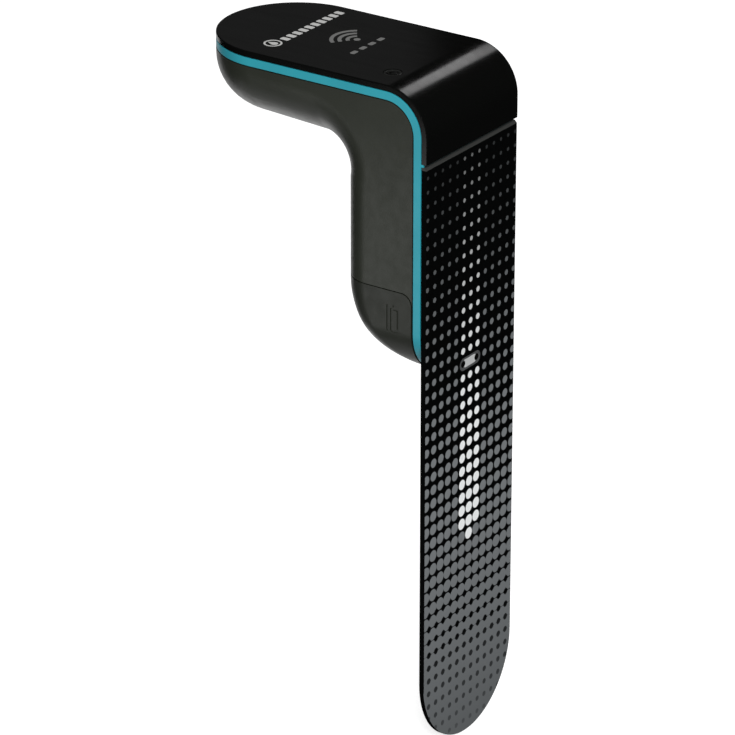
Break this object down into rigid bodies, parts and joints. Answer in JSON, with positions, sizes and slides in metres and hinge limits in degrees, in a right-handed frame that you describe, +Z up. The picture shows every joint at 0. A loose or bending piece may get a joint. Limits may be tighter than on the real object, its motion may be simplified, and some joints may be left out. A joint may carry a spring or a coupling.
{
  "type": "soil moisture sensor",
  "caption": "Wireless soil sensor with an L-shaped battery head, teal frame, gloss black cover, pull-off battery cap and one long flat measuring blade.",
  "frame": {"origin": "on the blade's front face and centreline, level with the lower end of the head, where the soil surface is in use", "axes": "+X across the width, +Y from the blade's front face to the tongue's round nose, +Z up, away from the blade's tip"},
  "size_m": [0.046, 0.0838, 0.2079],
  "materials": {
    "housing": "fine moulded texture",
    "frame_teal": "satin",
    "cover_gloss": "gloss",
    "cap": "fine moulded texture",
    "blade": "satin, printed dots",
    "black_plastic": "satin",
    "rubber": "matt",
    "sensor_steel": "satin",
    "contact_steel": "plated",
    "screw_steel": "zinc plated",
    "cell": "wrapped can, no label",
    "board": "solder mask",
    "flex_film": "polyimide film",
    "light": "translucent"
  },
  "bodies": {
    "head": {"rear_housing": "housing", "mid_frame": "frame_teal", "top_cover": "cover_gloss", "housing_gasket": "rubber", "measuring_blade": "blade", "temperature_sensor": "sensor_steel", "blade_header": "black_plastic", "blade_gasket": "rubber", "flex_cable": "flex_film", "cap_seal": "rubber", "contact_positive": "contact_steel", "contact_negative": "contact_steel", "contact_spring": "contact_steel", "main_board": "board", "radio_shield": "sensor_steel", "antenna": "contact_steel", "microcontroller": "black_plastic", "buffer_capacitor": "black_plastic", "flex_connector": "black_plastic", "tactile_switch": "black_plastic", "status_led": "light", "light_ring": "light", "frame_screw_1": "screw_steel", "frame_screw_2": "screw_steel", "frame_screw_3": "screw_steel", "frame_screw_4": "screw_steel", "frame_screw_5": "screw_steel", "frame_screw_6": "screw_steel", "board_screw_1": "screw_steel", "board_screw_2": "screw_steel", "board_screw_3": "screw_steel"},
    "cap": {"battery_cap": "cap", "cap_bridge_contact": "contact_steel", "bridge_spring": "contact_steel"},
    "cell_left": {"battery_cell_left": "cell"},
    "cell_right": {"battery_cell_right": "cell"},
    "button": {"power_button": "cover_gloss", "switch_plunger": "black_plastic"}
  },
  "joints": [
    {"name": "cap_slide", "type": "slide", "parent": "head", "child": "cap", "axis": [0, 0, -1], "range_m": [0, 0.075]},
    {"name": "cell_left_slide", "type": "slide", "parent": "head", "child": "cell_left", "axis": [0, 0, -1], "range_m": [0, 0.0605]},
    {"name": "cell_right_slide", "type": "slide", "parent": "head", "child": "cell_right", "axis": [0, 0, -1], "range_m": [0, 0.0605]},
    {"name": "button_press", "type": "slide", "parent": "head", "child": "button", "axis": [0, 0, -1], "range_m": [0, 0.0004], "stiffness_N_per_m": 1500}
  ],
  "couplings": [
    {"joint": "cell_left_slide", "follows": "cap_slide", "ratio": 0.8},
    {"joint": "cell_right_slide", "follows": "cap_slide", "ratio": 0.8}
  ]
}
